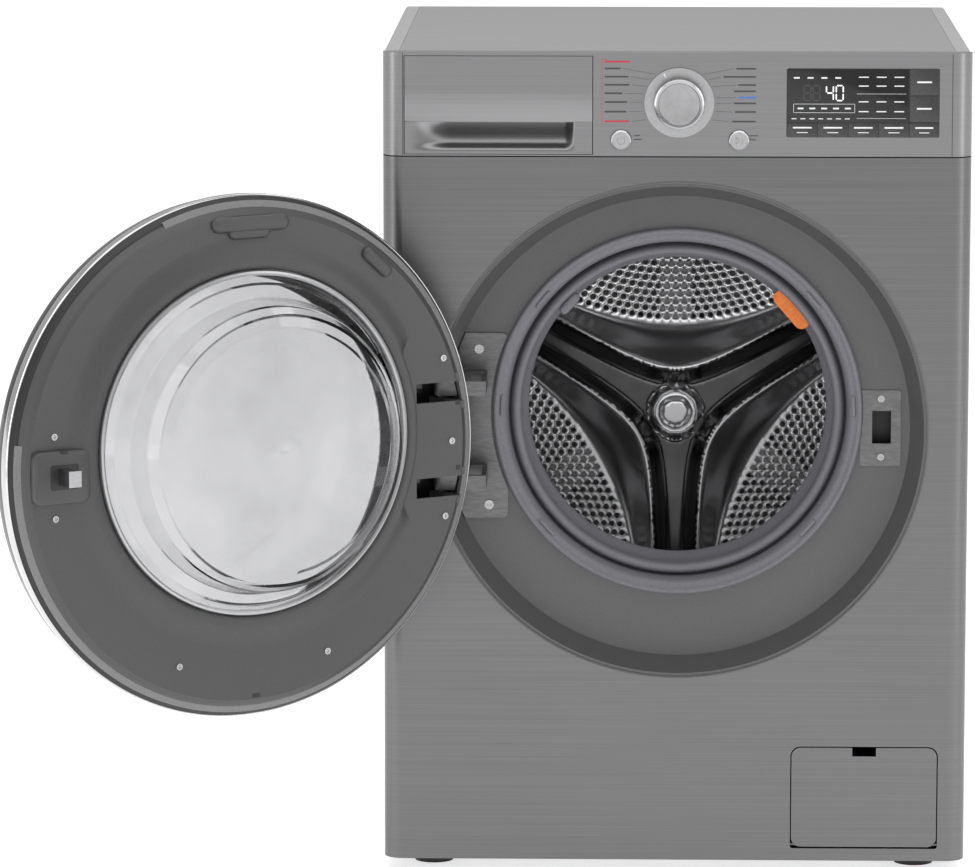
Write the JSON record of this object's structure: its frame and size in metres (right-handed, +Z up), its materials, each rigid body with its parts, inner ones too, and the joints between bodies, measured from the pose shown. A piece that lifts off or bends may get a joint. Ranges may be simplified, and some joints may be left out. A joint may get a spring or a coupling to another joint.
{
  "type": "front load washing machine",
  "caption": "Compact front loading washer with its round glass door open, tilted perforated drum, program knob, display, detergent drawer and filter flap.",
  "frame": {"origin": "centre of the cabinet's footprint, on the floor", "axes": "+X to the right seen from the front, +Y to the back, +Z up"},
  "size_m": [0.9661, 0.9522, 0.85],
  "materials": {
    "front_steel": "horizontal satin brushing",
    "fascia_steel": "horizontal satin brushing",
    "top_steel": "satin",
    "trim_silver": "satin silver",
    "side_steel": "satin metallic grey",
    "zinc_steel": "zinc-coated sheet",
    "surround_plastic": "fine satin grain",
    "door_plastic": "fine satin grain",
    "display_glass": "smoked gloss",
    "bezel_silver": "silver satin",
    "knob_chrome": "spun face, bright rim",
    "white_plastic": "moulded",
    "grey_plastic": "moulded",
    "black_plastic": "moulded",
    "bright_steel": "bright plated",
    "gasket_rubber": "soft grey rubber",
    "orange_plastic": "moulded orange",
    "black_rubber": "matt",
    "board_green": "circuit board",
    "tub_plastic": "filled moulding",
    "concrete": "rough cast block",
    "copper_winding": "enamelled windings",
    "drum_steel": "polished, perforated",
    "cast_alloy": "die cast",
    "chrome_trim": "mirror",
    "cover_glass": "clear smoked",
    "clear_glass": "clear pressed glass"
  },
  "bodies": {
    "cabinet": {"cabinet_shell": "side_steel", "rear_cover": "zinc_steel", "base_frame": "zinc_steel", "top_plate": "top_steel", "top_trims": "trim_silver", "front_panel": "front_steel", "door_surround": "surround_plastic", "control_panel": "fascia_steel", "display_window": "display_glass", "knob_bezel": "bezel_silver", "drawer_housing": "white_plastic", "door_lock": "black_plastic", "strike_plate": "bright_steel", "hinge_bracket": "bright_steel", "panel_screws": "bright_steel", "gasket_lip": "gasket_rubber", "drain_pump": "grey_plastic", "drain_outlet": "grey_plastic", "inlet_valves": "white_plastic", "internal_hoses": "black_rubber", "cord_gland": "black_plastic", "transit_caps": "grey_plastic", "cross_braces": "zinc_steel", "main_board": "board_green", "damper_cylinders": "grey_plastic", "suspension_springs": "bright_steel"},
    "foot_front_left": {"foot_front_left": "black_rubber"},
    "foot_front_right": {"foot_front_right": "black_rubber"},
    "foot_rear_left": {"foot_rear_left": "black_rubber"},
    "foot_rear_right": {"foot_rear_right": "black_rubber"},
    "tub": {"tub_front": "tub_plastic", "tub_rear": "tub_plastic", "gasket_bellows": "gasket_rubber", "spray_nozzle": "orange_plastic", "top_counterweight": "concrete", "lower_counterweight": "concrete", "stator": "copper_winding", "bearings": "bright_steel", "heater": "bright_steel", "damper_rods": "bright_steel"},
    "drum": {"drum": "drum_steel", "lifters": "grey_plastic", "drum_spider": "cast_alloy", "rotor": "zinc_steel"},
    "door": {"door_ring": "chrome_trim", "door_cover": "cover_glass", "door_frame": "door_plastic", "door_glass": "clear_glass", "hinge_pins": "bright_steel", "door_screws": "bright_steel", "door_bumpers": "door_plastic"},
    "latch": {"latch_hook": "bright_steel"},
    "drawer": {"detergent_drawer": "white_plastic", "drawer_front": "fascia_steel"},
    "knob": {"program_knob": "knob_chrome"},
    "power_key": {"power_button": "bezel_silver"},
    "start_key": {"start_button": "bezel_silver"},
    "flap": {"filter_cover": "front_steel"},
    "filter": {"drain_filter": "white_plastic"},
    "impeller": {"pump_impeller": "white_plastic"}
  },
  "joints": [
    {"name": "door_swing", "type": "hinge", "parent": "cabinet", "child": "door", "pos_m": [-0.239, -0.327, 0.462], "axis": [0, 0, 1], "range_deg": [0, 148]},
    {"name": "latch_pivot", "type": "hinge", "parent": "door", "child": "latch", "pos_m": [-0.60568, -0.59504, 0.462], "axis": [0, 0, 1], "range_deg": [0, 4], "stiffness_Nm_per_rad": 0.6},
    {"name": "tub_bounce", "type": "slide", "parent": "cabinet", "child": "tub", "axis": [0, 0, 1], "range_m": [-0.01, 0.01], "stiffness_N_per_m": 22000, "springref_m": 0.0165, "deforming": ["suspension_springs"]},
    {"name": "drum_spin", "type": "hinge", "parent": "tub", "child": "drum", "pos_m": [0.002, -0.24, 0.4745], "axis": [0, 0.9891, -0.1471], "continuous": true},
    {"name": "drawer_slide", "type": "slide", "parent": "cabinet", "child": "drawer", "axis": [0, -1, 0], "range_m": [0, 0.25]},
    {"name": "program_turn", "type": "hinge", "parent": "cabinet", "child": "knob", "pos_m": [0.002, -0.3, 0.7996], "axis": [0, -1, 0], "continuous": true},
    {"name": "power_press", "type": "slide", "parent": "cabinet", "child": "power_key", "axis": [0, 1, 0], "range_m": [0, 0.0015], "stiffness_N_per_m": 500},
    {"name": "start_press", "type": "slide", "parent": "cabinet", "child": "start_key", "axis": [0, 1, 0], "range_m": [0, 0.0015], "stiffness_N_per_m": 500},
    {"name": "flap_swing", "type": "hinge", "parent": "cabinet", "child": "flap", "pos_m": [0.1958, -0.2915, 0.0302], "axis": [1, 0, 0], "range_deg": [0, 90]},
    {"name": "filter_turn", "type": "hinge", "parent": "cabinet", "child": "filter", "pos_m": [0.196, -0.28, 0.082], "axis": [0, -1, 0], "range_deg": [0, 270]},
    {"name": "impeller_spin", "type": "hinge", "parent": "cabinet", "child": "impeller", "pos_m": [0.196, -0.185, 0.082], "axis": [0, 1, 0], "continuous": true},
    {"name": "foot_front_left_screw", "type": "slide", "parent": "cabinet", "child": "foot_front_left", "axis": [0, 0, -1], "range_m": [0, 0.012]},
    {"name": "foot_front_right_screw", "type": "slide", "parent": "cabinet", "child": "foot_front_right", "axis": [0, 0, -1], "range_m": [0, 0.012]},
    {"name": "foot_rear_left_screw", "type": "slide", "parent": "cabinet", "child": "foot_rear_left", "axis": [0, 0, -1], "range_m": [0, 0.012]},
    {"name": "foot_rear_right_screw", "type": "slide", "parent": "cabinet", "child": "foot_rear_right", "axis": [0, 0, -1], "range_m": [0, 0.012]}
  ]
}
